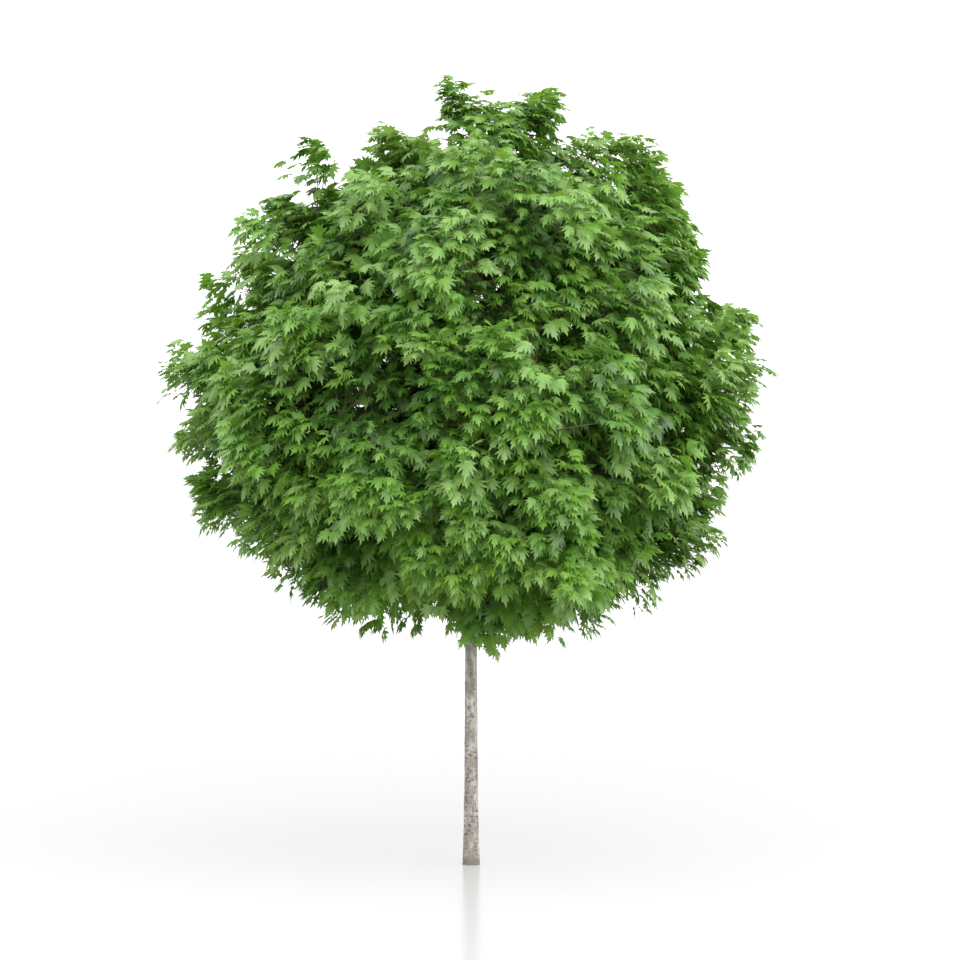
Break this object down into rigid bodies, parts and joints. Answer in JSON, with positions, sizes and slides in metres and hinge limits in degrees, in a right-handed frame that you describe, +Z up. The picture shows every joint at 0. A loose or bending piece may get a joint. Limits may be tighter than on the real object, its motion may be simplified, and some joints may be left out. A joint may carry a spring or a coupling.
{
  "type": "globe maple tree",
  "caption": "Small shade tree: a straight clear stem with a flared foot carries a dense, ball-shaped crown of lobed green leaves on slim boughs that spring from one fork.",
  "frame": {"origin": "middle of the flat cut of the stem at ground level", "axes": "+Z up the stem, -Y towards the viewer of the picture, +X to that viewer's right"},
  "size_m": [4.6325, 4.4595, 5.9655],
  "materials": {
    "bark": "rough, grey-brown with pale flecks",
    "leaves": "satin, mid green"
  },
  "bodies": {
    "root": {"trunk": "bark", "bough_top": "bark", "bough_upper_1": "bark", "bough_upper_2": "bark", "bough_upper_3": "bark", "bough_upper_4": "bark", "bough_middle_1": "bark", "bough_middle_2": "bark", "bough_middle_3": "bark", "bough_middle_4": "bark", "bough_middle_5": "bark", "bough_lower_1": "bark", "bough_lower_2": "bark", "bough_lower_3": "bark", "bough_lower_4": "bark", "foliage_top": "leaves", "foliage_upper_1": "leaves", "foliage_upper_2": "leaves", "foliage_upper_3": "leaves", "foliage_upper_4": "leaves", "foliage_middle_1": "leaves", "foliage_middle_2": "leaves", "foliage_middle_3": "leaves", "foliage_middle_4": "leaves", "foliage_middle_5": "leaves", "foliage_lower_1": "leaves", "foliage_lower_2": "leaves", "foliage_lower_3": "leaves", "foliage_lower_4": "leaves"}
  },
  "joints": []
}
